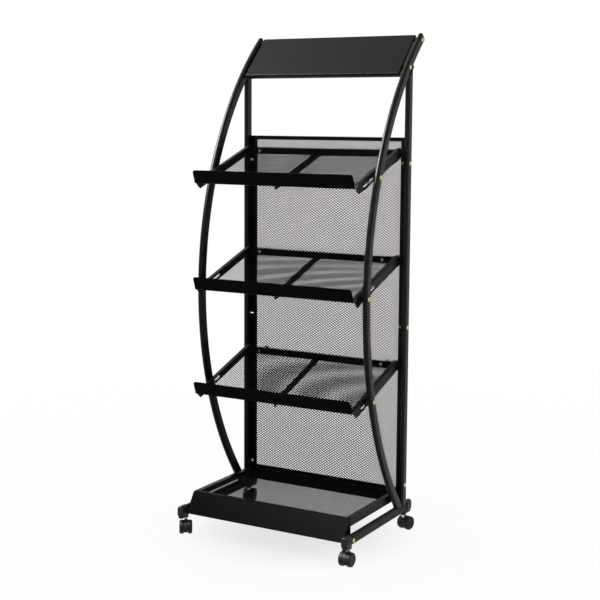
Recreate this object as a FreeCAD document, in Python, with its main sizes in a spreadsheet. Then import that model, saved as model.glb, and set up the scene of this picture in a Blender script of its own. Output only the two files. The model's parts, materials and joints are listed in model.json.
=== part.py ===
import FreeCAD, Part
import Sketcher
import math
import os
from types import SimpleNamespace

# Free-standing display rack for periodicals, in millimetres.
# X runs along the shelves, Y from front to back, Z up from the floor.
# Two side frames of flat-oval tube (base rail, upright, long bow) carry a header,
# three sloping mesh shelves, a floor tray and a mesh back, and roll on four casters.

driving_sizes = {
    # flat-oval steel tube and where the two side frames stand
    "tube_wide": 15, "tube_deep": 30, "tube_wall": 1.5, "frame_x": 272.5,
    "sheet": 1.5, "edge_round": 1.2,
    # base rails
    "rail_front": -228.5, "rail_back": 189.5, "rail_low": 54,
    # uprights
    "upright_y": 144.5,
    # bows: one circular arc from the rail to the top
    "arc_y": 889.5, "arc_z": 712, "arc_radius": 1000, "bow_top": 1457,
    "bow_cap_thick": 8, "bow_cap_round": 6.5, "plug_long": 4.5, "bow_foot_spare": 1.5,
    # rail end sleeves and the boss round each caster stem
    "sleeve_wide": 19.5, "sleeve_tall": 34, "sleeve_long": 30, "sleeve_wall": 3,
    "sleeve_round": 4, "boss_radius": 8.25, "boss_low": 46.5, "shoe_low": 49,
    # shelves: the fold between lip and surface of the lowest one is the datum
    "shelf_half": 260, "shelf_slope": 19.45, "shelf_deep": 303, "shelf_pitch": 310,
    "fold_y": -164.5, "fold_z": 418.5,
    "lip_above": 36, "lip_below": 4, "lip_corner": 9, "lip_leg": 12,
    "flange_drop": 28, "flange_start": 19, "strip_wide": 12,
    "slot_drop": 17.5, "slot_tall": 8,
    "slot_one_start": 48, "slot_one_end": 76.5, "slot_two_start": 83, "slot_two_end": 129.6,
    "bar_tall": 20, "bar_thick": 3, "bar_from_back": 7.2, "middle_bar_gap": 15,
    "rivet_x": 202, "rivet_up": 7.5, "rivet_radius": 1.5, "rivet_head": 3, "rivet_tall": 1.2,
    # back panel
    "back_y": 156.5, "back_low": 98, "back_top": 1169, "stile_wide": 20,
    "top_rail_tall": 12, "bottom_rail_tall": 29, "stile_fold": 24, "mesh_inset": 3,
    # openings of the mesh sheets
    "strand": 8, "window_pitch": 42, "shelf_row": 56, "tray_row": 57,
    # header
    "header_half": 258, "header_tall": 160, "header_lean": 45.97,
    "header_y": 104.5, "header_z": 1351.6, "header_return": 15, "header_flange": 25, "ear_inset": 6,
    "header_bolt_low": 135.5, "header_bolt_high": 215.5,
    # floor tray
    "tray_front": -175.5, "tray_back": 131.5, "tray_top": 121.4, "tray_flange_low": 98,
    "apron_foot_y": -213, "apron_foot_z": 63.3, "leg_back": -166.5, "leg_low": 59,
    "tray_strip": 15, "tray_back_low": 87, "ear_top": 150, "tray_bolt_y": -186.5,
    "tray_bolt_z": 67, "tray_lap": 1, "leg_toe": 6, "ear_lap": 5,
    # upright bolts, from the floor
    "bolt_low": 140, "bolt_mid": 615, "bolt_high": 1095,
    # M6 dome-head bolts, nuts and spacer sleeves
    "bolt_radius": 3, "bolt_long": 30, "head_radius": 5.8, "head_tall": 3.2,
    "nut_across": 10, "nut_thick": 5, "spacer_radius": 5,
    # M5 screws that hold the back edge of each shelf to the back panel
    "screw_radius": 2.5, "screw_x": 210, "pan_radius": 4.5, "pan_tall": 2.5,
    "washer_radius": 9, "standoff_radius": 4.5, "screw_drop": 13.2, "thread_out": 1,
    "pan_round": 1.5,
    # twin-wheel casters
    "stem_front": -199.5, "stem_back": 152.5, "trail": 12, "wheel_radius": 20,
    "caster_half": 19, "wheel_gap": 6.5, "house_half": 6.2, "house_radius": 18.5,
    "house_low": 7, "house_top": 39, "stem_radius": 5, "journal_radius": 4,
    "stem_top": 74, "stem_step": 39.6, "axle_radius": 2.5, "running_gap": 0.05,
    "neck_low": 19, "neck_round": 6, "bore_low": 22, "journal_low": 23, "axle_spare": 0.5,
    "hub_depth": 4, "face_depth": 1.2, "shoulder": 3.5, "inner_shoulder": 1.5,
    # where each caster's wheels trail, in degrees round its stem from straight ahead
    "heading_front_right": 0, "heading_front_left": 33.8,
    "heading_back_right": 165.05, "heading_back_left": -165.05,
    # spare length that a cutting tool has past the piece it cuts
    "spare": 10,
}


class Size:
    """A number that keeps the spreadsheet formula it comes from."""

    def __init__(self, value, formula):
        self.value = value
        self.formula = formula

    def __add__(self, other):
        return Size(self.value + value_of(other), f"({self.formula} + {formula_of(other)})")

    def __sub__(self, other):
        return Size(self.value - value_of(other), f"({self.formula} - {formula_of(other)})")

    def __mul__(self, other):
        return Size(self.value * value_of(other), f"({self.formula} * {formula_of(other)})")

    def __truediv__(self, other):
        return Size(self.value / value_of(other), f"({self.formula} / {formula_of(other)})")

    def __neg__(self):
        return Size(-self.value, f"(0 - {self.formula})")

    def __rsub__(self, other):
        return -self + other

    __radd__ = __add__
    __rmul__ = __mul__


def value_of(term):
    return term.value if isinstance(term, Size) else term


def formula_of(term):
    return term.formula if isinstance(term, Size) else f"({term})"


def cosine(angle):
    return Size(math.cos(math.radians(angle.value)), f"cos({angle.formula} * 1 deg)")


def sine(angle):
    return Size(math.sin(math.radians(angle.value)), f"sin({angle.formula} * 1 deg)")


def root(term):
    return Size(math.sqrt(term.value), f"sqrt({term.formula})")


doc = FreeCAD.newDocument("display_rack")
sheet = doc.addObject("Spreadsheet::Sheet", "Sizes")
for row, (alias, number) in enumerate(driving_sizes.items(), 1):
    sheet.set(f"A{row}", alias)
    sheet.set(f"B{row}", str(number))
    sheet.setAlias(f"B{row}", alias)
doc.recompute()
size = SimpleNamespace(**{alias: Size(float(sheet.get(alias)), "Sizes." + alias)
                          for alias in driving_sizes})

x_axis = FreeCAD.Vector(1, 0, 0)
y_axis = FreeCAD.Vector(0, 1, 0)
z_axis = FreeCAD.Vector(0, 0, 1)
rack_parts = []


# ---------- building blocks ----------

def bind(thing, path, term):
    thing.setExpression(path, formula_of(term))


def place(thing, x=0, y=0, z=0, axis=None, angle=0):
    """Turn a thing about an axis through its own origin, then move it to (x, y, z)."""
    if axis is not None:
        thing.Placement = FreeCAD.Placement(FreeCAD.Vector(), FreeCAD.Rotation(axis, value_of(angle)))
    if isinstance(angle, Size):
        bind(thing, "Placement.Rotation.Angle", angle)
    for way, distance in zip("xyz", (x, y, z)):
        bind(thing, "Placement.Base." + way, distance)
    return thing


def block(x, y, z):
    """A box between two limits on each axis, each given as a (low, high) pair."""
    box = doc.addObject("Part::Box", "block")
    for side, (low, high) in zip(("Length", "Width", "Height"), (x, y, z)):
        bind(box, side, high - low)
    return place(box, x[0], y[0], z[0])


def rod(radius, length, x, y, z, axis="z"):
    """A cylinder that starts at (x, y, z) and runs along +axis."""
    cylinder = doc.addObject("Part::Cylinder", "rod")
    bind(cylinder, "Radius", radius)
    bind(cylinder, "Height", length)
    turn = {"x": (y_axis, 90), "y": (x_axis, -90), "z": (None, 0)}[axis]
    return place(cylinder, x, y, z, *turn)


def joined(shapes):
    fuse = doc.addObject("Part::MultiFuse", "joined")
    fuse.Shapes = shapes
    fuse.Refine = True
    return fuse


def carried(thing):
    """A carrier that can be turned and moved while the thing keeps its own place inside it."""
    carrier = doc.addObject("Part::Compound", "carrier")
    carrier.Links = [thing]
    return carrier


def cut(base, tools):
    difference = doc.addObject("Part::Cut", "cut")
    difference.Base = base
    difference.Tool = joined(tools) if len(tools) > 1 else tools[0]
    return difference


def mirrored(source):
    """The same piece on the other side of the rack."""
    mirror = doc.addObject("Part::Mirroring", "mirrored")
    mirror.Source = source
    mirror.Normal = x_axis
    return mirror


def rounded(source, radius, wanted):
    """Round the edges whose midpoint passes the test."""
    doc.recompute()
    fillet = doc.addObject("Part::Fillet", "rounded")
    fillet.Base = source
    fillet.Edges = [(number, value_of(radius), value_of(radius))
                    for number, edge in enumerate(source.Shape.Edges, 1)
                    if wanted(edge.CenterOfMass)]
    return fillet


def near(first, second):
    return abs(first - value_of(second)) < 0.01


def part(name, thing):
    thing.Label = name
    rack_parts.append(thing)
    return thing


def group(name, shapes):
    """Identical small pieces that share one node, as separate solids."""
    feature = doc.addObject("Part::Feature", name)
    feature.Shape = Part.makeCompound(shapes)
    return part(name, feature)


# ---------- sketches ----------

def origin_part(body, role):
    return next(datum for datum in body.Origin.OriginFeatures if datum.Role == role)


def new_sketch(body, role):
    sketch = body.newObject("Sketcher::SketchObject", "sketch")
    sketch.AttachmentSupport = [(origin_part(body, role), "")]
    sketch.MapMode = "FlatFace"
    return sketch


def draw_oval(sketch, wide, deep):
    """A flat oval round the sketch's origin, its long side upright."""
    radius = value_of(wide) / 2
    reach = value_of(deep) / 2 - radius
    first = sketch.GeometryCount
    up, down = FreeCAD.Vector(0, reach, 0), FreeCAD.Vector(0, -reach, 0)
    sketch.addGeometry(Part.ArcOfCircle(Part.Circle(up, z_axis, radius), 0, math.pi))
    sketch.addGeometry(Part.LineSegment(FreeCAD.Vector(-radius, reach, 0),
                                        FreeCAD.Vector(-radius, -reach, 0)))
    sketch.addGeometry(Part.ArcOfCircle(Part.Circle(down, z_axis, radius), math.pi, 2 * math.pi))
    sketch.addGeometry(Part.LineSegment(FreeCAD.Vector(radius, -reach, 0),
                                        FreeCAD.Vector(radius, reach, 0)))
    top_arc, left, bottom_arc, right = range(first, first + 4)
    for before, after in ((top_arc, left), (left, bottom_arc), (bottom_arc, right), (right, top_arc)):
        sketch.addConstraint(Sketcher.Constraint("Tangent", before, 2, after, 1))
    sketch.addConstraint(Sketcher.Constraint("Equal", top_arc, bottom_arc))
    sketch.addConstraint(Sketcher.Constraint("Symmetric", top_arc, 3, bottom_arc, 3, -1, 1))
    sketch.addConstraint(Sketcher.Constraint("PointOnObject", top_arc, 3, -2))
    at_radius = sketch.addConstraint(Sketcher.Constraint("Radius", top_arc, radius))
    at_reach = sketch.addConstraint(Sketcher.Constraint("DistanceY", bottom_arc, 3, top_arc, 3, 2 * reach))
    bind(sketch, f"Constraints[{at_radius}]", wide / 2)
    bind(sketch, f"Constraints[{at_reach}]", deep - wide)


def draw_outline(sketch, corners):
    """A closed outline of straight lines; every corner is tied to its own two sizes."""
    points = [FreeCAD.Vector(value_of(across), value_of(up), 0) for across, up in corners]
    for start, end in zip(points, points[1:] + points[:1]):
        sketch.addGeometry(Part.LineSegment(start, end))
    for line, (across, up) in enumerate(corners):
        before = (line - 1) % len(corners)
        sketch.addConstraint(Sketcher.Constraint("Coincident", before, 2, line, 1))
        for kind, term in (("DistanceX", across), ("DistanceY", up)):
            tie = sketch.addConstraint(Sketcher.Constraint(kind, -1, 1, line, 1, value_of(term)))
            bind(sketch, f"Constraints[{tie}]", term)


def padded(body, sketch, length, reversed_way=False, midplane=False):
    pad = body.newObject("PartDesign::Pad", "pad")
    pad.Profile = sketch
    pad.Reversed = reversed_way
    pad.Midplane = midplane
    bind(pad, "Length", length)
    return pad


def oval_bar(wide, deep, length, wall=None):
    """A straight flat-oval bar, or a tube if it has a wall, along its own +Z."""
    body = doc.addObject("PartDesign::Body", "oval_bar")
    sketch = new_sketch(body, "XY_Plane")
    draw_oval(sketch, wide, deep)
    if wall is not None:
        draw_oval(sketch, wide - wall * 2, deep - wall * 2)
    padded(body, sketch, length)
    return body


def plate(corners, thickness):
    """A flat plate in the Y-Z plane, its thickness shared equally by both sides of that plane."""
    body = doc.addObject("PartDesign::Body", "plate")
    sketch = new_sketch(body, "YZ_Plane")
    draw_outline(sketch, corners)
    padded(body, sketch, thickness, midplane=True)
    return body


def turned(profile):
    """A solid of revolution about its own X axis, from (along, radius) corners."""
    body = doc.addObject("PartDesign::Body", "turned")
    sketch = new_sketch(body, "XY_Plane")
    draw_outline(sketch, profile)
    turn = body.newObject("PartDesign::Revolution", "turn")
    turn.Profile = sketch
    turn.ReferenceAxis = (sketch, ["H_Axis"])
    turn.Angle = 360
    return body


# ---------- places worked out from the driving sizes ----------

tube_half = size.tube_wide / 2
tube_reach = size.tube_deep / 2
frame_inside = size.frame_x - tube_half
frame_outside = size.frame_x + tube_half
rail_top = size.rail_low + size.tube_deep
rail_middle = size.rail_low + tube_reach
saddle = rail_top - tube_half
slope_cos = cosine(size.shelf_slope)
slope_sin = sine(size.shelf_slope)
shelf_names = ("lower", "middle", "upper")
side_signs = (-1, 1)


def shelf_lift(level):
    return size.shelf_pitch * level


def bow_y_at(height):
    """Y of the bow's centre line at a height."""
    rise = height - size.arc_z
    return size.arc_y - root(size.arc_radius * size.arc_radius - rise * rise)


def bow_z_at(depth):
    """Height of the bow's upper half where it passes a depth."""
    run = size.arc_y - depth
    return size.arc_z + root(size.arc_radius * size.arc_radius - run * run)


def shelf_bolt(level):
    """Where the line of slots in a shelf's side crosses the bow's centre line."""
    start_y = size.fold_y + size.slot_drop * slope_sin
    start_z = size.fold_z + shelf_lift(level) - size.slot_drop * slope_cos
    run, rise = start_y - size.arc_y, start_z - size.arc_z
    along = run * slope_cos + rise * slope_sin
    beyond = run * run + rise * rise - size.arc_radius * size.arc_radius
    reach = -along - root(along * along - beyond)
    return start_y + reach * slope_cos, start_z + reach * slope_sin


rack_levels = range(len(shelf_names))
shelf_bolts = [shelf_bolt(level) for level in rack_levels]
header_bolts = [(depth, bow_z_at(depth)) for depth in (size.header_bolt_low, size.header_bolt_high)]
upright_bolts = [(size.upright_y, height)
                 for height in (size.bolt_low, size.bolt_mid, size.bolt_high)]
rail_bolt = (size.tray_bolt_y, size.tray_bolt_z)
bar_front = size.fold_y + size.shelf_deep * slope_cos - size.bar_from_back
apron_out = size.tray_front - size.apron_foot_y
apron_down = size.tray_top - size.apron_foot_z


def screw_height(level):
    """Height of the screws in a shelf's back bar."""
    bar_rise = (bar_front - size.fold_y) * slope_sin / slope_cos
    return size.fold_z + shelf_lift(level) + bar_rise - size.screw_drop


def bolt_hole(depth, height):
    """A clearance hole along X through whatever lies on the right side of the rack."""
    start = frame_inside - size.stile_wide
    return rod(size.bolt_radius, frame_outside + size.spare - start, start, depth, height, "x")


def bolt_holes_across(bolts):
    """Clearance holes along X that pass both sides of the rack."""
    reach = frame_outside + size.spare
    return [rod(size.bolt_radius, reach * 2, -reach, depth, height, "x") for depth, height in bolts]


def stem_hole(depth):
    """The hole for a caster's stem, from under its boss to the middle of the right rail."""
    start = size.rail_low - size.spare
    return rod(size.stem_radius, rail_middle - start, size.frame_x, depth, start)


def between_strands(first, pitch, count):
    """The gaps between neighbouring strands, as (low, high) pairs; first is a strand's middle."""
    middles = [value_of(first + pitch * step) for step in range(count + 1)]
    half = size.strand.value / 2
    return [(low + half, high - half) for low, high in zip(middles, middles[1:])]


def windows(columns, rows, through, lying=True):
    """All openings of a mesh sheet as one tool; through is its start across the sheet."""
    boxes = []
    for left, right in columns:
        for low, high in rows:
            if lying:
                sides, corner = (right - left, high - low, size.spare.value), (left, low, through)
            else:
                sides, corner = (right - left, size.spare.value, high - low), (left, through, low)
            boxes.append(Part.makeBox(*sides, FreeCAD.Vector(*corner)))
    tool = doc.addObject("Part::Feature", "windows")
    tool.Shape = Part.makeCompound(boxes)
    return tool


mesh_columns = between_strands(-size.window_pitch * 6, size.window_pitch, 12)


def both_sides(name, right):
    part("right_" + name, right)
    part("left_" + name, mirrored(right))


# ---------- side frames ----------

def base_rail():
    tube = oval_bar(size.tube_wide, size.tube_deep, size.rail_back - size.rail_front, size.tube_wall)
    place(tube, size.frame_x, size.rail_front, rail_middle, x_axis, -90)
    holes = [stem_hole(size.stem_front), stem_hole(size.stem_back), bolt_hole(*rail_bolt)]
    both_sides("base_rail", cut(tube, holes))


def upright():
    """Saddled over the rail below and under the bow's inner side at the top."""
    tube = oval_bar(size.tube_wide, size.tube_deep, size.bow_top - saddle, size.tube_wall)
    place(tube, size.frame_x, size.upright_y, saddle)
    rail_saddle = rod(tube_half, size.tube_deep * 2, size.frame_x,
                      size.upright_y - size.tube_deep, saddle, "y")
    drilled = cut(tube, [rail_saddle] + [bolt_hole(*bolt) for bolt in upright_bolts])
    under_bow = doc.addObject("Part::Common", "under_bow")
    under_bow.Base = drilled
    under_bow.Tool = rod(size.arc_radius - tube_reach, size.tube_wide * 3, frame_inside - size.tube_wide,
                         size.arc_y, size.arc_z, "x")
    both_sides("upright", under_bow)


def bow_angle(height):
    """Angle of a height on the arc above (or below) the level of its centre, in degrees."""
    rise = height - size.arc_z
    return Size(math.degrees(math.asin(rise.value / size.arc_radius.value)),
                f"(asin({rise.formula} / {size.arc_radius.formula}) / 1 deg)")


def bow_tube():
    """Flat-oval tube bent to one arc, coped to the rail and the upright at its foot."""
    body = doc.addObject("PartDesign::Body", "bow")
    sketch = new_sketch(body, "XY_Plane")
    draw_oval(sketch, size.tube_wide, size.tube_deep)
    draw_oval(sketch, size.tube_wide - size.tube_wall * 2, size.tube_deep - size.tube_wall * 2)
    bind(sketch, "AttachmentOffset.Base.y", -size.arc_radius)
    turn = body.newObject("PartDesign::Revolution", "bend")
    turn.Profile = sketch
    turn.ReferenceAxis = (origin_part(body, "X_Axis"), [""])
    foot_angle = bow_angle(saddle) - size.bow_foot_spare
    bind(turn, "Angle", bow_angle(size.bow_top) - foot_angle)
    turn.Reversed = True
    place(body, size.frame_x, size.arc_y, size.arc_z, x_axis, -foot_angle)
    behind = size.upright_y - tube_reach + tube_half
    across = (frame_inside - size.spare, frame_outside + size.spare)
    reach = size.tube_deep * 3
    cope = [block(across, (behind - reach, behind + reach), (saddle - reach, saddle)),
            rod(tube_half, reach * 2, size.frame_x, behind - reach, saddle, "y"),
            block(across, (behind, behind + reach), (saddle - reach, saddle + reach)),
            rod(tube_half, reach * 2, size.frame_x, behind, saddle - reach)]
    holes = [bolt_hole(*bolt) for bolt in shelf_bolts + header_bolts]
    both_sides("bow_tube", cut(body, cope + holes))


def bow_cap():
    """Plastic plug pressed into the open top of the bow, with a rounded head."""
    head = oval_bar(size.tube_wide, size.tube_deep, size.bow_cap_thick)
    head = rounded(head, size.bow_cap_round, lambda middle: near(middle.z, size.bow_cap_thick))
    plug = oval_bar(size.tube_wide - size.tube_wall * 2, size.tube_deep - size.tube_wall * 2,
                    size.plug_long)
    place(plug, 0, 0, -size.plug_long)
    cap = joined([head, plug])
    top_angle = bow_angle(size.bow_top)
    place(cap, size.frame_x, bow_y_at(size.bow_top), size.bow_top, x_axis, -top_angle)
    both_sides("bow_cap", cap)


def rail_end(name, way, rail_end_y, stem_y):
    """Moulded sleeve over a rail's end, with the boss that guides the caster's stem."""
    outer_end = rail_end_y + size.sleeve_wall * way
    sleeve = oval_bar(size.sleeve_wide, size.sleeve_tall, size.sleeve_long)
    sleeve = rounded(sleeve, size.sleeve_round, lambda middle: near(middle.z, 0))
    place(sleeve, size.frame_x, outer_end, rail_middle, x_axis, 90 * way)
    shoe_ends = sorted((outer_end - size.sleeve_round * 2 * way, stem_y), key=value_of)
    shoe = block((size.frame_x - size.boss_radius, size.frame_x + size.boss_radius),
                 shoe_ends, (size.shoe_low, size.rail_low + tube_half))
    boss = rod(size.boss_radius, size.rail_low + tube_half - size.boss_low,
               size.frame_x, stem_y, size.boss_low)
    rail = oval_bar(size.tube_wide, size.tube_deep, size.rail_back - size.rail_front)
    place(rail, size.frame_x, size.rail_front, rail_middle, x_axis, -90)
    both_sides(name, cut(joined([sleeve, shoe, boss]), [rail, stem_hole(stem_y)]))


# ---------- header ----------

def header_panel():
    """Sheet folded back on all four edges; the side folds are bolted to the bows."""
    outside = block((-size.header_half, size.header_half), (0, size.header_tall), (-size.header_return, 0))
    inside = block((-size.header_half + size.sheet, size.header_half - size.sheet),
                   (size.sheet, size.header_tall - size.sheet),
                   (-size.header_return - size.spare, -size.sheet))
    shell = cut(rounded(outside, size.sheet, lambda middle: near(middle.z, 0)), [inside])
    flanges = []
    for side in side_signs:
        edges = sorted((size.header_half * side, (size.header_half - size.sheet) * side),
                       key=value_of)
        flange = block(edges, (size.ear_inset, size.header_tall - size.ear_inset),
                       (-size.header_flange, -size.header_return))
        flanges.append(flange)
    panel = joined([shell] + flanges)
    place(panel, 0, size.header_y, size.header_z, x_axis, size.header_lean)
    part("header_panel", cut(panel, bolt_holes_across(header_bolts)))


# ---------- shelves ----------

def on_shelf(level, thing):
    """Move a piece from the shelf's own flat frame to its sloping place."""
    return place(thing, 0, size.fold_y, size.fold_z + shelf_lift(level), x_axis, size.shelf_slope)


def slot(start, end):
    """A round-ended slot along the shelf, cut through the right side."""
    radius = size.slot_tall / 2
    inside, outside = size.shelf_half - size.spare, size.shelf_half + size.spare
    straight = block((inside, outside), (start + radius, end - radius),
                     (-size.slot_drop - radius, -size.slot_drop + radius))
    ends = [rod(radius, outside - inside, inside, along, -size.slot_drop, "x")
            for along in (start + radius, end - radius)]
    return [straight] + ends


def shelf_side():
    """Angle that carries the mesh: a strip in the surface and a slotted flange hanging down."""
    strip = block((size.shelf_half - size.strip_wide, size.shelf_half),
                  (size.sheet, size.shelf_deep), (-size.sheet, 0))
    flange = block((size.shelf_half - size.sheet, size.shelf_half),
                   (size.flange_start, size.shelf_deep), (-size.flange_drop, 0))
    flange = rounded(flange, size.lip_corner, lambda middle: near(middle.z, -size.flange_drop)
                     and (near(middle.y, size.flange_start) or near(middle.y, size.shelf_deep)))
    angle = rounded(joined([strip, flange]), size.edge_round,
                    lambda middle: near(middle.z, 0) and near(middle.x, size.shelf_half))
    front_slot = slot(size.slot_one_start, size.slot_one_end)
    return cut(angle, front_slot + slot(size.slot_two_start, size.slot_two_end))


def shelf_lip():
    """Upstand along the front edge, with a leg under the mesh."""
    upstand = block((-size.shelf_half, size.shelf_half), (0, size.sheet),
                    (-size.lip_below, size.lip_above))
    upstand = rounded(upstand, size.lip_corner, lambda middle: near(middle.z, size.lip_above)
                      and near(abs(middle.x), size.shelf_half))
    leg = block((-size.shelf_half + size.strip_wide, size.shelf_half - size.strip_wide),
                (size.sheet, size.lip_leg), (-size.sheet * 3, -size.sheet * 2))
    rivet_holes = [rod(size.rivet_radius, size.spare * 2, size.rivet_x * side, -size.spare,
                       size.rivet_up, "y") for side in side_signs]
    return cut(joined([upstand, leg]), rivet_holes)


def shelf_mesh():
    """Mesh sheet of the shelf's surface, as a plain grid of strands of its overall thickness."""
    solid = block((-size.shelf_half + size.sheet, size.shelf_half - size.sheet),
                  (size.sheet, size.shelf_deep - size.bar_thick), (-size.sheet * 2, -size.sheet))
    rows = between_strands(size.lip_leg, size.shelf_row, 5)
    return cut(solid, [windows(mesh_columns, rows, -size.spare.value)])


def shelf_bars(level):
    """Flat bars on edge under the mesh: one down the middle, one upright along the back."""
    under_mesh = size.sheet * 2
    middle = block((-size.bar_thick / 2, size.bar_thick / 2),
                   (size.lip_leg, size.shelf_deep - size.middle_bar_gap),
                   (-size.bar_tall - under_mesh, -under_mesh))
    middle = on_shelf(level, carried(middle))
    top = screw_height(level) + size.screw_drop - under_mesh / slope_cos
    back = block((-size.shelf_half + size.sheet, size.shelf_half - size.sheet),
                 (bar_front, bar_front + size.bar_thick), (top - size.bar_tall, top))
    holes = [rod(size.screw_radius, size.spare * 2, size.screw_x * side, bar_front - size.spare,
                 screw_height(level), "y") for side in side_signs]
    return cut(joined([middle, back]), holes)


def shelves():
    for level, name in enumerate(shelf_names):
        right = on_shelf(level, shelf_side())
        part(f"{name}_shelf_right_side", right)
        part(f"{name}_shelf_left_side", mirrored(right))
        part(f"{name}_shelf_lip", on_shelf(level, shelf_lip()))
        part(f"{name}_shelf_mesh", on_shelf(level, carried(shelf_mesh())))
        part(f"{name}_shelf_bars", shelf_bars(level))


# ---------- back panel ----------

def back_panel():
    """Mesh behind a folded frame, bolted between the uprights."""
    front = size.back_y - size.sheet
    inner = frame_inside - size.stile_wide
    stiles = []
    for side in side_signs:
        face_edges = sorted((inner * side, frame_inside * side), key=value_of)
        fold_edges = sorted(((frame_inside - size.sheet) * side, frame_inside * side), key=value_of)
        stiles.append(block(face_edges, (front, size.back_y), (size.back_low, size.back_top)))
        stiles.append(block(fold_edges, (size.back_y - size.stile_fold, size.back_y),
                            (size.back_low, size.back_top)))
    bottom_edge = size.back_low + size.bottom_rail_tall
    top_edge = size.back_top - size.top_rail_tall
    across, folded = (-inner, inner), (size.back_y - size.top_rail_tall, size.back_y)
    rails = [block(across, (front, size.back_y), (top_edge, size.back_top)),
             block(across, folded, (size.back_top - size.sheet, size.back_top)),
             block(across, (front, size.back_y), (size.back_low, bottom_edge)),
             block(across, folded, (size.back_low, size.back_low + size.sheet))]
    holes = bolt_holes_across(upright_bolts)
    part("back_panel_frame", cut(joined(stiles + rails), holes))
    edge = frame_inside - size.mesh_inset
    mesh = block((-edge, edge), (size.back_y, size.back_y + size.sheet),
                 (size.back_low + size.mesh_inset, size.back_top - size.mesh_inset))
    # three rows of openings to a shelf, from under the lower screws to over the upper ones
    pitch = size.shelf_pitch / 3
    rows = between_strands(screw_height(0) - pitch * 4, pitch, 11)
    rows = [(max(low, bottom_edge.value), min(high, top_edge.value)) for low, high in rows]
    openings = windows(mesh_columns, rows, size.back_y.value - size.spare.value / 2, lying=False)
    screw_holes = [rod(size.screw_radius, size.spare * 2, size.screw_x * side,
                       size.back_y - size.spare, screw_height(level), "y")
                   for side in side_signs for level in rack_levels]
    part("back_panel_mesh", cut(cut(mesh, [openings]), screw_holes))


# ---------- floor tray ----------

def tray():
    """Level mesh tray with a sloping apron, whose end legs are bolted to the rails."""
    half = size.shelf_half
    skin = size.tray_front + size.sheet
    apron_angle = Size(math.degrees(math.atan2(apron_out.value, apron_down.value)),
                       f"(atan2({apron_out.formula}; {apron_down.formula}) / 1 deg)")
    apron_long = root(apron_out * apron_out + apron_down * apron_down)
    slab = block((-half, half), (0, size.sheet), (-apron_long, 0))
    slab = place(carried(slab), 0, size.tray_front, size.tray_top, x_axis, -apron_angle)
    lap = size.tray_lap
    ledge = block((-half + size.sheet, half - size.sheet),
                  (size.tray_front + lap, skin + size.lip_leg),
                  (size.tray_top - size.sheet, size.tray_top))
    legs = []
    for side in side_signs:
        leg = plate([(size.tray_front + lap, size.tray_top - lap),
                     (size.apron_foot_y + lap, size.apron_foot_z + lap),
                     (size.apron_foot_y + size.leg_toe, size.leg_low),
                     (size.leg_back, size.leg_low),
                     (size.leg_back, size.tray_top - lap)], size.sheet)
        legs.append(place(leg, (half - size.sheet / 2) * side, 0, 0))
    part("tray_apron", cut(joined([slab, ledge] + legs), bolt_holes_across([rail_bolt])))
    frame = []
    for side in side_signs:
        strip = sorted(((half - size.tray_strip) * side, half * side), key=value_of)
        skin_x = sorted(((half - size.sheet) * side, half * side), key=value_of)
        frame.append(block(strip, (skin + size.lip_leg, size.tray_back),
                           (size.tray_top - size.sheet, size.tray_top)))
        frame.append(block(skin_x, (size.leg_back, size.tray_back),
                           (size.tray_flange_low, size.tray_top)))
        frame.append(block(skin_x, (size.tray_back - size.ear_lap, size.back_y - size.sheet),
                           (size.tray_flange_low, size.ear_top)))
    frame.append(block((-half, half), (size.tray_back - size.sheet, size.tray_back),
                       (size.tray_back_low, size.tray_top)))
    part("tray_frame", cut(joined(frame), bolt_holes_across(upright_bolts[:1])))
    mesh = block((-half + size.sheet, half - size.sheet),
                 (skin + lap, size.tray_back - size.sheet),
                 (size.tray_top - size.sheet * 2, size.tray_top - size.sheet))
    rows = between_strands(skin + size.lip_leg - size.strand / 2, size.tray_row, 5)
    through = size.tray_top.value - size.spare.value / 2
    part("tray_mesh", cut(mesh, [windows(mesh_columns, rows, through)]))


# ---------- fasteners ----------

def moved(shape, x, y, z, turn=None):
    copy = shape.copy()
    copy.Placement = FreeCAD.Placement(FreeCAD.Vector(value_of(x), value_of(y), value_of(z)),
                                       turn or FreeCAD.Rotation())
    return copy


def facing_out(side):
    """Turns a piece made along +Z so that it points away from the rack's middle."""
    return FreeCAD.Rotation(y_axis, 90 * side)


def dome_bolt():
    """Dome-head bolt along Z, its shank below the head."""
    head_top = size.head_tall.value
    head_edge = size.head_radius.value
    ball = (head_edge ** 2 + head_top ** 2) / (2 * head_top)
    dome = Part.makeSphere(ball, FreeCAD.Vector(0, 0, head_top - ball))
    head = dome.common(Part.makeCylinder(ball, head_top))
    shank = Part.makeCylinder(size.bolt_radius.value, size.bolt_long.value,
                              FreeCAD.Vector(0, 0, -size.bolt_long.value))
    return head.fuse(shank)


def hex_nut():
    corner = size.nut_across.value / math.sqrt(3)
    corners = [FreeCAD.Vector(corner * math.cos(math.radians(turn)),
                              corner * math.sin(math.radians(turn)), 0)
               for turn in range(0, 361, 60)]
    blank = Part.Face(Part.makePolygon(corners)).extrude(FreeCAD.Vector(0, 0, size.nut_thick.value))
    return blank.cut(Part.makeCylinder(size.bolt_radius.value, size.nut_thick.value))


def sleeve(outer, inner, length):
    return Part.makeCylinder(outer, length).cut(Part.makeCylinder(inner, length))


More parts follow.
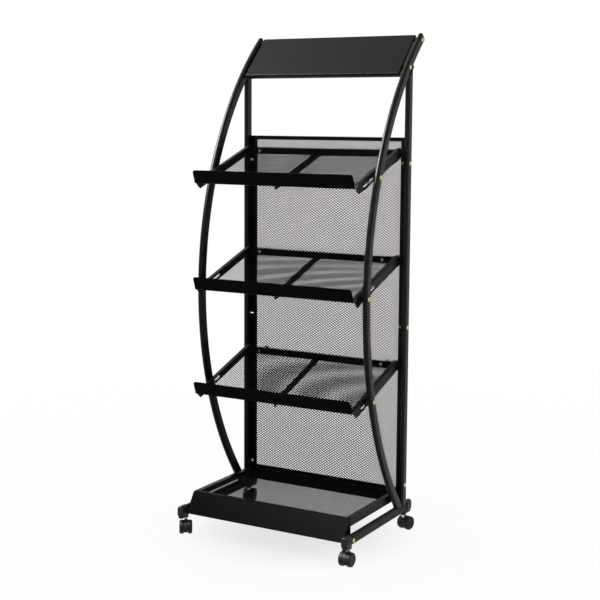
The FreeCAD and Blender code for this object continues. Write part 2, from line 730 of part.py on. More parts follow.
def frame_fasteners():
    """Bolts through the tubes from outside, spacers in the gaps and nuts on the inside."""
    half = size.shelf_half
    joints = [(bolt, half - size.sheet, half) for bolt in shelf_bolts + [rail_bolt, upright_bolts[0]]]
    joints += [(bolt, size.header_half - size.sheet, size.header_half) for bolt in header_bolts]
    joints += [(bolt, frame_inside - size.sheet, None) for bolt in upright_bolts[1:]]
    bolts, nuts, spacers = [], [], []
    for (depth, height), nut_face, gap_start in joints:
        gap_end = frame_inside.value - (size.sheet.value if depth is size.upright_y else 0)
        for side in side_signs:
            turn = facing_out(side)
            bolts.append(moved(dome_bolt(), frame_outside * side, depth, height, turn))
            nuts.append(moved(hex_nut(), (nut_face - size.nut_thick) * side, depth, height, turn))
            if gap_start is not None:
                spacer = sleeve(size.spacer_radius.value, size.bolt_radius.value, gap_end - gap_start.value)
                spacers.append(moved(spacer, gap_start * side, depth, height, turn))
    group("frame_bolts", bolts)
    group("frame_nuts", nuts)
    group("spacer_sleeves", spacers)


def shelf_fasteners():
    """Long screws that tie each shelf's back bar to the back panel, and the lip's rivets."""
    backwards = FreeCAD.Rotation(x_axis, -90)
    front, back = bar_front.value, size.back_y.value
    shank_end = back + size.sheet.value + size.nut_thick.value + size.thread_out.value
    head = Part.makeCylinder(size.pan_radius.value, size.pan_tall.value)
    head = head.makeFillet(size.pan_round.value, [head.Edges[2]])
    shank = Part.makeCylinder(size.screw_radius.value, shank_end - front,
                              FreeCAD.Vector(0, 0, front - shank_end))
    screw = head.fuse(shank)
    washer = sleeve(size.washer_radius.value, size.screw_radius.value, size.sheet.value)
    collar = sleeve(size.pan_radius.value, size.screw_radius.value, size.nut_thick.value)
    washer_nut = washer.fuse(collar)
    bar_back = bar_front + size.bar_thick
    standoff = sleeve(size.standoff_radius.value, size.screw_radius.value, back - bar_back.value)
    ball, tall = size.rivet_head.value, size.rivet_tall.value
    dome = Part.makeSphere(ball, FreeCAD.Vector(0, 0, tall - ball)).common(Part.makeCylinder(ball, tall))
    rivet = dome.fuse(Part.makeCylinder(size.rivet_radius.value, size.sheet.value,
                                        FreeCAD.Vector(0, 0, -size.sheet.value)))
    out_of_lip = FreeCAD.Rotation(x_axis, 90 + size.shelf_slope.value)
    screws, nuts, standoffs, rivets = [], [], [], []
    for level in rack_levels:
        height = screw_height(level)
        for side in side_signs:
            across = size.screw_x * side
            screws.append(moved(screw, across, bar_front, height, FreeCAD.Rotation(x_axis, 90)))
            nuts.append(moved(washer_nut, across, size.back_y + size.sheet, height, backwards))
            standoffs.append(moved(standoff, across, bar_back, height, backwards))
            rivets.append(moved(rivet, size.rivet_x * side, size.fold_y - size.rivet_up * slope_sin,
                                size.fold_z + shelf_lift(level) + size.rivet_up * slope_cos, out_of_lip))
    group("shelf_screws", screws)
    group("shelf_screw_nuts", nuts)
    group("shelf_standoffs", standoffs)
    group("lip_rivets", rivets)


# ---------- casters ----------

def caster(name, side, stem_y, heading):
    """Twin-wheel caster whose wheels trail behind its stem; heading 0 points them forward."""
    stem_x = size.frame_x * side
    axle_x = stem_x + size.trail * sine(heading)
    axle_y = stem_y - size.trail * cosine(heading)

    def at_stem(thing, lift=0):
        return place(thing, stem_x, stem_y, lift, z_axis, heading)

    def at_axle(thing):
        return place(thing, axle_x, axle_y, size.wheel_radius, z_axis, heading)

    half = size.house_half
    drum = rod(size.house_radius, half * 2, -half, -size.trail, size.wheel_radius, "x")
    neck = block((-half, half), (-size.trail, half), (size.neck_low, size.house_top))
    neck = rounded(neck, size.neck_round,
                   lambda middle: near(middle.y, half) and near(abs(middle.x), half))
    swivel_bore = rod(size.journal_radius + size.running_gap, size.house_top, 0, 0, size.bore_low)
    axle_bore = rod(size.axle_radius, half * 4, -half * 2, -size.trail, size.wheel_radius, "x")
    reach = size.house_radius * 2
    underside = block((-reach, reach), (-reach, reach), (-size.spare, size.house_low))
    bored = cut(joined([drum, neck]), [swivel_bore, axle_bore, underside])
    part(name + "_housing", at_stem(bored))
    shoulder = rod(size.stem_radius, size.stem_top - size.stem_step, 0, 0, size.stem_step)
    journal = rod(size.journal_radius, size.stem_top - size.journal_low, 0, 0, size.journal_low)
    part(name + "_stem", at_stem(joined([shoulder, journal])))
    hub_end = size.caster_half - size.hub_depth
    axle_end = hub_end - size.axle_spare
    axle = turned([(-axle_end, 0), (axle_end, 0),
                   (axle_end, size.axle_radius), (-axle_end, size.axle_radius)])
    part(name + "_axle", at_axle(axle))
    tread = size.wheel_radius
    bore = size.axle_radius + size.running_gap
    face = size.caster_half - size.face_depth
    # the outer shoulder is a quarter circle in three steps
    quarter = [(math.cos(math.radians(step)), math.sin(math.radians(step))) for step in (0, 30, 60, 90)]
    shoulder_ring = [(size.caster_half - size.shoulder * (1 - along), tread - size.shoulder * (1 - up))
                     for along, up in quarter]
    profile = [(hub_end, 0), (face, 0), (face, tread - size.shoulder - size.face_depth),
               *shoulder_ring,
               (size.wheel_gap + size.inner_shoulder, tread),
               (size.wheel_gap, tread - size.inner_shoulder), (size.wheel_gap, bore), (hub_end, bore)]
    for hand, way in (("left", -1), ("right", 1)):
        corners = [(along * way, radius) for along, radius in profile]
        part(f"{name}_{hand}_wheel", at_axle(turned(corners)))


# ---------- assembly ----------

base_rail()
upright()
bow_tube()
bow_cap()
rail_end("front_rail_end", -1, size.rail_front, size.stem_front)
rail_end("back_rail_end", 1, size.rail_back, size.stem_back)
header_panel()
shelves()
back_panel()
tray()
frame_fasteners()
shelf_fasteners()
caster("front_right_caster", 1, size.stem_front, size.heading_front_right)
caster("front_left_caster", -1, size.stem_front, size.heading_front_left)
caster("back_right_caster", 1, size.stem_back, size.heading_back_right)
caster("back_left_caster", -1, size.stem_back, size.heading_back_left)
doc.recompute()

broken = [thing.Label for thing in doc.Objects if {"Invalid", "Error"} & set(thing.State)]
broken += [thing.Label for thing in rack_parts if thing.Shape.isNull() or not thing.Shape.isValid()]
if broken:
    raise SystemExit("failed pieces: " + ", ".join(broken))

os.makedirs("parts", exist_ok=True)
for thing in rack_parts:
    thing.Shape.exportStep(os.path.join("parts", thing.Label + ".step"))
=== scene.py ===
import json
import math

import bmesh
import bpy
import numpy as np
from mathutils import Matrix, Vector


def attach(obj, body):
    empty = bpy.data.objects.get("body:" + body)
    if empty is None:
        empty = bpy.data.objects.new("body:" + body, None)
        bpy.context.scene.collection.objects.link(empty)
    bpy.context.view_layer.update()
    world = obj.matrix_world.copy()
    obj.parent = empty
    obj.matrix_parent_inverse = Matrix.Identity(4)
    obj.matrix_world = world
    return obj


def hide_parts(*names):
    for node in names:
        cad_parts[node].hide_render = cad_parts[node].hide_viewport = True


# Periodical display rack. The settings of its pieces are in millimetres, as a maker would write them,
# and addPiece turns them into metres. The stage and its lamps are set in metres.

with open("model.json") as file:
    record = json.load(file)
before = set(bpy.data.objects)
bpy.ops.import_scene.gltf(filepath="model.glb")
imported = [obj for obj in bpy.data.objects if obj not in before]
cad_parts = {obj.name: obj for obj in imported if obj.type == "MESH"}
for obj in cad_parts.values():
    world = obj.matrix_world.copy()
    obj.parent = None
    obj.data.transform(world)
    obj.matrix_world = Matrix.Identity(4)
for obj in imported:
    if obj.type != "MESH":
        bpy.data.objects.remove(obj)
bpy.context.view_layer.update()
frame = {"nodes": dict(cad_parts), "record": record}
cadNodes = frame["nodes"]
mm = 0.001
print("frame loaded:", len(cadNodes), "nodes")


# camera

cameraSettings = {
    "place": (1809.3, -3175.8, 1220.5),
    "yaw": 29.6945, "pitch": 6.8488, "roll": 0.3583,  # degrees, turned left, looking down, tilted
    "lens": 75.444, "sensor": 36, "shiftUp": -0.05,
    "farthest": 50,  # metres
}


def addCamera(settings):
    yaw, pitch, roll = (math.radians(settings[key]) for key in ("yaw", "pitch", "roll"))
    ahead = Vector((-math.sin(yaw) * math.cos(pitch), math.cos(yaw) * math.cos(pitch), -math.sin(pitch)))
    level = Vector((math.cos(yaw), math.sin(yaw), 0))
    upright = level.cross(ahead)
    right = level * math.cos(roll) + upright * math.sin(roll)
    top = upright * math.cos(roll) - level * math.sin(roll)
    data = bpy.data.cameras.new("studioCamera")
    data.lens = settings["lens"]
    data.sensor_width = settings["sensor"]
    data.shift_y = settings["shiftUp"]
    data.clip_end = settings["farthest"]
    camera = bpy.data.objects.new("studioCamera", data)
    turn = Matrix((right, top, -ahead)).transposed().to_4x4()
    camera.matrix_world = Matrix.Translation(Vector(settings["place"]) * mm) @ turn
    bpy.context.scene.collection.objects.link(camera)
    bpy.context.scene.camera = camera


addCamera(cameraSettings)
bpy.context.scene.view_settings.view_transform = "Standard"
print("camera placed")


# node materials: every pattern reads object coordinates, so it stays with its piece

noiseSpan = (0.3, 0.7)  # a noise's values mostly lie between these


class NodeChain:
    # a short way to write a node tree: each call adds its nodes, and most return the socket to read next

    def __init__(self, tree):
        self.tree = tree
        self.tree.nodes.clear()

    def add(self, kind, settings=None, inputs=None):
        node = self.tree.nodes.new(kind)
        for key, value in (settings or {}).items():
            setattr(node, key, value)
        for key, value in (inputs or {}).items():
            if isinstance(value, bpy.types.NodeSocket):
                self.tree.links.new(value, node.inputs[key])
            else:
                node.inputs[key].default_value = value
        return node

    def coordinates(self):
        return self.add("ShaderNodeTexCoord").outputs["Object"]

    def noise(self, where, scale, detail, roughness):
        node = self.add("ShaderNodeTexNoise", inputs={
            "Vector": where, "Scale": scale, "Detail": detail, "Roughness": roughness})
        return node.outputs["Fac"]

    def ramp(self, factor, stops):
        node = self.add("ShaderNodeValToRGB", inputs={"Fac": factor})
        handles = node.color_ramp.elements
        for handle, (position, colour) in zip(handles, (stops[0], stops[-1])):
            handle.position = position
            handle.color = (*colour, 1)
        for position, colour in stops[1:-1]:
            handles.new(position).color = (*colour, 1)
        return node.outputs["Color"]

    def shades(self, factor, dark, pale):
        return self.ramp(factor, [(noiseSpan[0], dark), (noiseSpan[1], pale)])

    def stretch(self, factor, low, high, start, end):
        node = self.add("ShaderNodeMapRange", inputs={
            "Value": factor, "From Min": start, "From Max": end, "To Min": low, "To Max": high})
        return node.outputs["Result"]

    def maths(self, operation, first, second):
        return self.add("ShaderNodeMath", {"operation": operation}, {0: first, 1: second}).outputs[0]

    def sum(self, first, second, share):
        return self.maths("ADD", first, self.maths("MULTIPLY", second, share))

    def bump(self, height, distance, strength):
        node = self.add("ShaderNodeBump", inputs={
            "Height": height, "Distance": distance, "Strength": strength})
        return node.outputs["Normal"]

    def finish(self, inputs):
        shader = self.add("ShaderNodeBsdfPrincipled", inputs=inputs)
        self.add("ShaderNodeOutputMaterial", inputs={"Surface": shader.outputs["BSDF"]})


def newMaterial(name):
    material = bpy.data.materials.new(name)
    material.use_nodes = True
    return material, NodeChain(material.node_tree)


# patch, peel and dust are noise scales, satin is a range of roughness, and depths are in metres

powderCoat = {
    "dark": (0.0024, 0.0025, 0.0028), "pale": (0.0046, 0.0047, 0.0050),
    "patch": 9, "peel": 520, "peelDeep": 0.00006, "dust": 2600, "dustShare": 0.35,
    "satin": (0.28, 0.38), "shine": 0.06,
}
# the same powder coat with more shine, on the uprights and bows only, is painted sheen for their highlight
# streaks
sheenTubeCoat = {**powderCoat, "satin": (0.25, 0.31), "shine": 0.12, "peelDeep": 0.00003}
# the same powder coat with almost no shine, on the apron and the faces of the lips, is painted shade that
# keeps them dark
shadedCoat = {
    **powderCoat, "dark": (0.0026, 0.0027, 0.0029), "pale": (0.0044, 0.0045, 0.0048), "shine": 0.012,
}
meshCoat = {**powderCoat, "peel": 900, "shine": 0.002, "satin": (0.5, 0.6)}


def coatMaterial(name, settings):
    # baked powder: a soft orange-peel swell with a fine pebble on it and faint cloudy patches
    material, chain = newMaterial(name)
    where = chain.coordinates()
    patches = chain.noise(where, settings["patch"], detail=3, roughness=0.6)
    peel = chain.noise(where, settings["peel"], detail=2, roughness=0.5)
    pebble = chain.noise(where, settings["dust"], detail=1, roughness=0.5)
    height = chain.sum(peel, pebble, settings["dustShare"])
    chain.finish({
        "Base Color": chain.shades(patches, settings["dark"], settings["pale"]),
        "Roughness": chain.stretch(peel, *settings["satin"], *noiseSpan),
        "Specular IOR Level": settings["shine"],
        "Normal": chain.bump(height, settings["peelDeep"], strength=0.5)})
    return material


mouldedPlastic = {
    "dark": (0.0075, 0.0075, 0.0080), "pale": (0.0115, 0.0115, 0.0120), "cloud": 22,
    "spark": 1500, "sparkDeep": 0.00006, "satin": (0.44, 0.56), "shine": 0.2,
}
wheelNylon = {
    **mouldedPlastic, "dark": (0.0030, 0.0030, 0.0032), "pale": (0.0055, 0.0055, 0.0058),
    "spark": 1900, "sparkDeep": 0.00005,
}


def plasticMaterial(name, settings):
    # spark-eroded mould finish: a fine grain, and a colour and shine that vary in slow clouds
    material, chain = newMaterial(name)
    where = chain.coordinates()
    grain = chain.noise(where, settings["spark"], detail=3, roughness=0.6)
    clouds = chain.noise(where, settings["cloud"], detail=2, roughness=0.5)
    chain.finish({
        "Base Color": chain.shades(clouds, settings["dark"], settings["pale"]),
        "Roughness": chain.stretch(clouds, *settings["satin"], *noiseSpan),
        "Specular IOR Level": settings["shine"],
        "Normal": chain.bump(grain, settings["sparkDeep"], strength=0.6)})
    return material


yellowZinc = {
    "colours": [(0.30, (0.62, 0.60, 0.22)), (0.5, (0.72, 0.62, 0.20)), (0.7, (0.55, 0.62, 0.30))],
    "patch": 260, "satin": (0.24, 0.38), "scratch": 1800, "scratchDeep": 0.00002,
}
# a darker, duller copy of the yellow zinc, on the bolts' inner ends, the nuts and the shelf standoffs, is
# painted shade
shadedZinc = {
    **yellowZinc, "satin": (0.36, 0.50),
    "colours": [(0.30, (0.20, 0.19, 0.15)), (0.5, (0.26, 0.24, 0.17)), (0.7, (0.22, 0.21, 0.17))],
}
# a near-black copy of the plated metal, on the spacer sleeves in the gaps between the sheets and the tubes,
# is painted shade of those gaps
gapShadePlate = {
    **yellowZinc, "patch": 200, "satin": (0.40, 0.55),
    "colours": [(0.30, (0.022, 0.022, 0.023)), (0.5, (0.030, 0.030, 0.031)), (0.7, (0.026, 0.026, 0.026))],
}
brightSteel = {
    **yellowZinc, "patch": 140, "satin": (0.22, 0.34),
    "colours": [(0.30, (0.55, 0.55, 0.56)), (0.5, (0.64, 0.64, 0.65)), (0.7, (0.60, 0.60, 0.60))],
}


def platedMaterial(name, settings):
    # plated metal: the film's colour drifts over a few millimetres, and fine scratches roughen it
    material, chain = newMaterial(name)
    where = chain.coordinates()
    drift = chain.noise(where, settings["patch"], detail=3, roughness=0.6)
    scratch = chain.noise(where, settings["scratch"], detail=2, roughness=0.7)
    chain.finish({
        "Base Color": chain.ramp(drift, settings["colours"]),
        "Metallic": 1.0,
        "Roughness": chain.stretch(scratch, *settings["satin"], *noiseSpan),
        "Normal": chain.bump(scratch, settings["scratchDeep"], strength=0.4)})
    return material


finishes = {
    "black_powder_coat": coatMaterial("satinBlackPowder", powderCoat),
    "sheen_tube_coat": coatMaterial("sheenTubePowder", sheenTubeCoat),
    "shaded_coat": coatMaterial("shadedBlackPowder", shadedCoat),
    "black_mesh": coatMaterial("meshBlackPowder", meshCoat),
    "grey_plastic": plasticMaterial("darkMouldedPlastic", mouldedPlastic),
    "black_nylon": plasticMaterial("wheelNylon", wheelNylon),
    "yellow_zinc": platedMaterial("yellowZincPlate", yellowZinc),
    "shaded_zinc": platedMaterial("shadedZincPlate", shadedZinc),
    "gap_shade_plate": platedMaterial("gapShadePlateMetal", gapShadePlate),
    "bright_steel": platedMaterial("brightSteel", brightSteel),
}
print("materials made:", ", ".join(sorted(finishes)))


# meshes from arrays

def wrapIndex(rows, columns, closeRows, closeColumns):
    # corner numbers of every quad of a rows-by-columns grid;
    # a closed side joins its last line to its first
    number = np.arange(rows * columns).reshape(rows, columns)
    if closeRows:
        number = np.vstack([number, number[:1]])
    if closeColumns:
        number = np.hstack([number, number[:, :1]])
    quads = np.stack([number[:-1, :-1], number[1:, :-1], number[1:, 1:], number[:-1, 1:]], axis=-1)
    return quads.reshape(-1, 4)


def skin(points, closeRows=False, closeColumns=True, startCap=False, endCap=False):
    # one surface: a grid of points and its faces; a cap fills the first or last row with one face
    rows, columns = points.shape[:2]
    faces = wrapIndex(rows, columns, closeRows, closeColumns).tolist()
    if startCap:
        faces.append(list(range(columns)))
    if endCap:
        faces.append(list(range(rows * columns - 1, (rows - 1) * columns - 1, -1)))
    return points.reshape(-1, 3), faces


def together(skins):
    # several surfaces as one, each one's corner numbers moved past those before it
    points, faces, start = [], [], 0
    for skinPoints, skinFaces in skins:
        points.append(skinPoints)
        faces += [[corner + start for corner in face] for face in skinFaces]
        start += len(skinPoints)
    return np.concatenate(points), faces


def turnOutward(data):
    work = bmesh.new()
    work.from_mesh(data)
    bmesh.ops.recalc_face_normals(work, faces=work.faces)
    work.to_mesh(data)
    work.free()


edgeBevel = {"steps": 2, "leastAngle": 40}


def addPiece(name, surface, finish, body, stands=(),
             smoothAngle=32, outward=True, wall=0, edge=0):
    # wall and edge are a sheet's own
    points, faces = surface
    data = bpy.data.meshes.new(name)
    data.from_pydata((np.asarray(points, float) * mm).tolist(), [], faces)
    data.validate()
    if outward:
        turnOutward(data)
    data.polygons.foreach_set("use_smooth", np.ones(len(data.polygons), bool))
    data.set_sharp_from_angle(angle=math.radians(smoothAngle))
    piece = bpy.data.objects.new(name, data)
    bpy.context.scene.collection.objects.link(piece)
    data.materials.append(finishes[finish])
    if wall:
        solid = piece.modifiers.new("wall", "SOLIDIFY")
        solid.thickness, solid.offset = wall * mm, -1
    if edge:
        bevel = piece.modifiers.new("softEdge", "BEVEL")
        bevel.width, bevel.segments = edge * mm, edgeBevel["steps"]
        bevel.limit_method, bevel.angle_limit = "ANGLE", math.radians(edgeBevel["leastAngle"])
    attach(piece, body)
    if stands:
        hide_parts(*stands)
    return piece


# expanded metal: rows of zigzag strands that meet their neighbours at every knot

expandedMetal = {
    "acrossRepeat": 11.7, "upRepeat": 7.8,  # one diamond, knot to knot
    "strandWide": 2.15, "strandThick": 0.75, "tilt": 18, "raise": 0.1,
}
trayMetal = {**expandedMetal, "tilt": 31}


def strandRows(width, height, settings, part=(0, 1)):
    # strand r passes knot k at height r*half + quarter*(-1)^(k+r), and steps in and out of the sheet
    # with the same sign; its section is a rectangle turned by the tilt, so that its top leans back.
    # part takes a share of the sheet's rows, so that a tall sheet can be made in pieces that meet
    half = settings["upRepeat"] / 2
    step = settings["acrossRepeat"] / 2
    knots = int(width / step) + 1
    allRows = int(height / half)
    first, last = (round(allRows * share) for share in part)
    rows = last - first
    k, r = np.meshgrid(np.arange(knots), np.arange(first, last))
    sign = np.where((k + r) % 2 == 0, 1.0, -1.0)
    across = (k - (knots - 1) / 2) * step
    up = (r - (allRows - 1) / 2) * half + sign * half / 2
    out = sign * settings["raise"]
    tall = settings["strandWide"] * math.hypot(step, half) / step / 2
    thick = settings["strandThick"] / 2
    tilt = math.radians(settings["tilt"])
    lean = np.array([(math.cos(tilt), -math.sin(tilt)), (math.sin(tilt), math.cos(tilt))])
    corner = np.array([(-tall, -thick), (tall, -thick), (tall, thick), (-tall, thick)]) @ lean
    points = np.zeros((rows, knots, 4, 3))
    points[..., 0] = across[..., None]
    points[..., 1] = up[..., None] + corner[:, 0]
    points[..., 2] = out[..., None] + corner[:, 1]
    number = np.arange(rows * knots * 4).reshape(rows, knots, 4)
    around = np.concatenate([number, number[..., :1]], axis=2)
    near, far = around[:, :-1], around[:, 1:]
    quads = np.stack([near[..., :-1], far[..., :-1], far[..., 1:], near[..., 1:]], axis=-1)
    ends = np.concatenate([number[:, 0, ::-1], number[:, -1]])
    return points.reshape(-1, 3), quads.reshape(-1, 4).tolist() + ends.tolist()


levelAxes = ((1, 0, 0), (0, 1, 0), (0, 0, 1))  # across, up and out of a piece that lies level


def carried(surface, origin, across, up, out):
    # local (across, up, out) points moved to a sheet's own axes
    points, faces = surface
    axes = np.array([across, up, out], float)
    return np.asarray(origin, float) + points @ axes, faces


shelfPlace = {"slope": 19.45, "half": 260, "pitch": 310, "foldY": -164.5, "foldZ": 418.5}
shelfLevels = ("lower", "middle", "upper")
slopeCos = math.cos(math.radians(shelfPlace["slope"]))
slopeSin = math.sin(math.radians(shelfPlace["slope"]))


def onShelf(level, surface):
    # (across, along the slope, off the surface) in the shelf's own frame
    origin = (0, shelfPlace["foldY"], shelfPlace["foldZ"] + shelfPlace["pitch"] * level)
    return carried(surface, origin, (1, 0, 0), (0, slopeCos, slopeSin), (0, -slopeSin, slopeCos))


meshPlaces = {
    "back": {"half": 261.5, "low": 101.5, "high": 1165.5, "out": 157.25},
    "tray": {"half": 257, "front": -173, "back": 130, "high": 119.15},
    "shelf": {"half": 257, "front": 2, "back": 299, "high": -2.25},
}


def levelMesh(place, settings):
    # a level sheet of strands about the middle of its place
    rows = strandRows(place["half"] * 2, place["back"] - place["front"], settings)
    return carried(rows, (0, (place["front"] + place["back"]) / 2, place["high"]), *levelAxes)


def addMeshes(places):
    back = places["back"]
    middle = (back["high"] + back["low"]) / 2
    for name, part in (("back_mesh_lower", (0, 0.5)), ("back_mesh_upper", (0.5, 1))):
        rows = strandRows(back["half"] * 2, back["high"] - back["low"], expandedMetal, part)
        sheet = carried(rows, (0, back["out"], middle), (1, 0, 0), (0, 0, 1), (0, -1, 0))
        addPiece(name, sheet, "black_mesh", "rack", ("back_panel_mesh",), outward=False)
    sheet = levelMesh(places["tray"], trayMetal)
    addPiece("tray_expanded_mesh", sheet, "black_mesh", "rack", ("tray_mesh",), outward=False)
    for level, name in enumerate(shelfLevels):
        sheet = onShelf(level, levelMesh(places["shelf"], expandedMetal))
        addPiece(name + "_shelf_expanded_mesh", sheet, "black_mesh", "rack",
                 (name + "_shelf_mesh",), outward=False)
    print("expanded metal done")


addMeshes(meshPlaces)


# shared places of the rack

rackLayout = {
    "frameAcross": 272.5, "tubeWide": 15, "tubeDeep": 30, "railHigh": 69, "saddle": 76.5,
    "arcY": 889.5, "arcZ": 712, "arcRadius": 1000, "bowTop": 1457, "uprightY": 144.5,
    "railBoltY": -186.5, "railBoltZ": 67, "uprightBoltZ": (140, 615, 1095),
    "headerBoltY": (135.5, 215.5), "headerHalf": 258, "slotDrop": 17.5, "sheet": 1.5,
    "stemY": {"front": -199.5, "back": 152.5},
}
sides = {"left": -1, "right": 1}


def bowY(height, radius=rackLayout["arcRadius"]):
    # front half of a circle round the bow's centre, at a height
    return rackLayout["arcY"] - np.sqrt(radius ** 2 - (height - rackLayout["arcZ"]) ** 2)


def boltPlaces():
    # (depth, height, how far across the sheet or tube is that its nut sits in) of one side's bolts
    arcY, arcZ, radius = rackLayout["arcY"], rackLayout["arcZ"], rackLayout["arcRadius"]
    half = shelfPlace["half"]
    places = []
    for level in range(len(shelfLevels)):  # where the line of slots meets the bow
        startY = shelfPlace["foldY"] + rackLayout["slotDrop"] * slopeSin
        startZ = shelfPlace["foldZ"] + shelfPlace["pitch"] * level - rackLayout["slotDrop"] * slopeCos
        run, rise = startY - arcY, startZ - arcZ
        along = run * slopeCos + rise * slopeSin
        reach = -along - math.sqrt(along ** 2 - (run ** 2 + rise ** 2 - radius ** 2))
        places.append((startY + reach * slopeCos, startZ + reach * slopeSin, half))
    places.append((rackLayout["railBoltY"], rackLayout["railBoltZ"], half))
    for depth in rackLayout["headerBoltY"]:
        height = arcZ + math.sqrt(radius ** 2 - (arcY - depth) ** 2)
        places.append((depth, height, rackLayout["headerHalf"]))
    low, *others = rackLayout["uprightBoltZ"]
    places.append((rackLayout["uprightY"], low, half))
    inside = rackLayout["frameAcross"] - rackLayout["tubeWide"] / 2
    places += [(rackLayout["uprightY"], height, inside) for height in others]
    return places


# surfaces of a few common kinds

poleRadius = 0.01  # a profile ends this near its axis, where a cap closes it
onHexagon = -1  # in a bolt's profile, stands for the radius of its hexagon socket


def roundFan(count, start=0.0):
    # directions of one full turn, anticlockwise, as (cosine, sine) rows
    angle = start + np.arange(count) * 2 * math.pi / count
    return np.stack([np.cos(angle), np.sin(angle)], axis=1)


def flatOval(wide, deep, count):
    # a circle of half the width, cut across and drawn apart to the full depth
    fan = roundFan(count, math.pi / count)
    reach = (deep - wide) / 2
    return fan * (wide / 2) + np.sign(fan[:, 1:]) * np.array([(0, reach)])


def ovalRings(wide, deep, steps, count=40):
    # one flat-oval ring for each (height, pulled in by) step, all round the same axis
    rings = [np.c_[flatOval(wide - 2 * inset, deep - 2 * inset, count), np.full(count, height)]
             for height, inset in steps]
    return np.array(rings)


def lathe(profile, count, shaped=None):
    # each (along, radius) row of the profile is carried round the first axis;
    # shaped, where it is given, works out each row's radius in each direction
    profile = np.asarray(profile, float)
    fan = roundFan(count)
    radius = profile[:, 1:2] * np.ones(count) if shaped is None else shaped(profile, fan)
    along = np.repeat(profile[:, :1], count, axis=1)
    return np.stack([along, radius * fan[:, 0], radius * fan[:, 1]], axis=-1)


def roundedEnd(radius, steps):
    # (height, pulled in by) rows of a quarter circle that starts pulled in and ends flush
    turn = np.linspace(0, math.pi / 2, steps)
    return list(zip(radius * (1 - np.cos(turn)), radius * (1 - np.sin(turn))))


def quarterOval(along, radius, wide, deep, turn):
    # rows of a profile: along grows with the sine of the turn, and radius with its cosine
    return [(along + wide * math.sin(t), radius + deep * math.cos(t)) for t in turn]


def hexagon(fan, across):
    # distance from the middle to a hexagon's side in each direction
    angle = np.arctan2(fan[:, 1], fan[:, 0])
    return across / 2 / np.cos((angle + math.pi / 6) % (math.pi / 3) - math.pi / 6)


def plateOutline(corners, middle, thick):
    # a flat plate across the first axis, from its corners in the other two
    corners = np.asarray(corners, float)
    layers = [np.c_[np.full(len(corners), middle + thick / 2 * way), corners] for way in (-1, 1)]
    return skin(np.array(layers), startCap=True, endCap=True)


# dome-head bolts and their nuts

bolt = {
    "headRadius": 5.8, "headTall": 3.2, "brim": 0.35, "brimRound": 0.25, "domePower": 0.8, "domeShare": 0.8,
    "socket": 3.8, "socketDeep": 1.9, "socketRim": 1.2, "socketEdge": 0.25, "socketCone": 0.5,
    "shank": 3, "long": 10, "tip": 0.6, "tipLong": 0.8,
}
boltEnd = {"from": -9.5, "to": -30, "shank": 3, "chamfer": 0.7}
nut = {"across": 10, "thick": 5, "bore": 3, "chamfer": 0.55}


def boltSurface(settings):
    # dome: over most of a quarter turn t, height rises with sin t over a low brim, and radius falls
    # with a power of cos t; from its top the hexagon socket goes down to a shallow cone
    rim, brim, socket = settings["headRadius"], settings["brim"], settings["socket"]
    shank, bottom = settings["shank"], -settings["long"]
    turn = np.linspace(0, 1, 7) * math.pi / 2 * settings["domeShare"]
    dome = [(brim + (settings["headTall"] - brim) * math.sin(t), rim * math.cos(t) ** settings["domePower"])
            for t in turn]
    top = dome[-1][0]
    floor = top - settings["socketDeep"]
    profile = [(bottom, poleRadius), (bottom, shank - settings["tip"]),
               (bottom + settings["tipLong"], shank), (0, shank), (0, rim - settings["brimRound"]), *dome,
               (top, socket / 2 * settings["socketRim"]), (top - settings["socketEdge"], onHexagon),
               (floor, onHexagon), (floor - settings["socketCone"], poleRadius)]

    def withSocket(rows, fan):
        plain = rows[:, 1:2] * np.ones(len(fan))
        return np.where(rows[:, 1:2] < 0, hexagon(fan, socket)[None, :], plain)

    return skin(lathe(profile, count=24, shaped=withSocket), startCap=True, endCap=True)


def boltEndSurface(settings):
    # the inner length of the shank, with a chamfer at its end
    near, far, shank, chamfer = (settings[key] for key in ("from", "to", "shank", "chamfer"))
    profile = [(far, poleRadius), (far, shank - chamfer), (far + chamfer, shank), (near, shank),
               (near, poleRadius)]
    return skin(lathe(profile, count=20), startCap=True, endCap=True)


def nutSurface(settings):
    # hexagon whose corners are cut by a cone at both ends, with a bore through it
    thick, bore, chamfer = settings["thick"], settings["bore"], settings["chamfer"]
    far = settings["across"] / math.sqrt(3)
    drop = chamfer * 2
    profile = [(thick, bore), (0, bore), (0, far - drop), (chamfer, far), (thick - chamfer, far),
               (thick, far - drop)]

    def sixSided(rows, fan):
        plain = rows[:, 1:2] * np.ones(len(fan))
        cut = np.minimum(plain, hexagon(fan, settings["across"]))
        return np.where(rows[:, 1:2] <= bore, plain, cut)

    return skin(lathe(profile, count=36, shaped=sixSided), closeRows=True)


def pointedOut(surface, side, across, depth, height):
    # a fastener made along its own first axis, turned to point away from the rack's middle
    points, faces = surface
    flip = np.array([side, side, 1.0])
    return points * flip + np.array([across * side, depth, height]), faces


def addFasteners():
    frameOutside = rackLayout["frameAcross"] + rackLayout["tubeWide"] / 2
    head, end, hexNut = boltSurface(bolt), boltEndSurface(boltEnd), nutSurface(nut)
    bolts, ends, nuts = [], [], []
    for side in sides.values():
        for depth, height, sheetAt in boltPlaces():
            bolts.append(pointedOut(head, side, frameOutside, depth, height))
            ends.append(pointedOut(end, side, frameOutside, depth, height))
            nutAt = sheetAt - rackLayout["sheet"] - nut["thick"]
            nuts.append(pointedOut(hexNut, side, nutAt, depth, height))
    # the dome heads keep the yellow zinc; the bolts' inner ends and the nuts get its darker, duller copy,
    # which is painted shade
    addPiece("dome_bolts", together(bolts), "yellow_zinc", "rack", ("frame_bolts",), smoothAngle=40)
    addPiece("bolt_ends", together(ends), "shaded_zinc", "rack", ("frame_bolts",),
             smoothAngle=40)
    addPiece("hex_nuts", together(nuts), "shaded_zinc", "rack", ("frame_nuts",),
             smoothAngle=30)
    print("bolts and nuts done")


# caps in the tops of the bows

bowCap = {"tall": 8, "edge": 0.3, "collar": 1.4, "groove": 0.3, "grooveTall": 0.25, "round": 6.4}


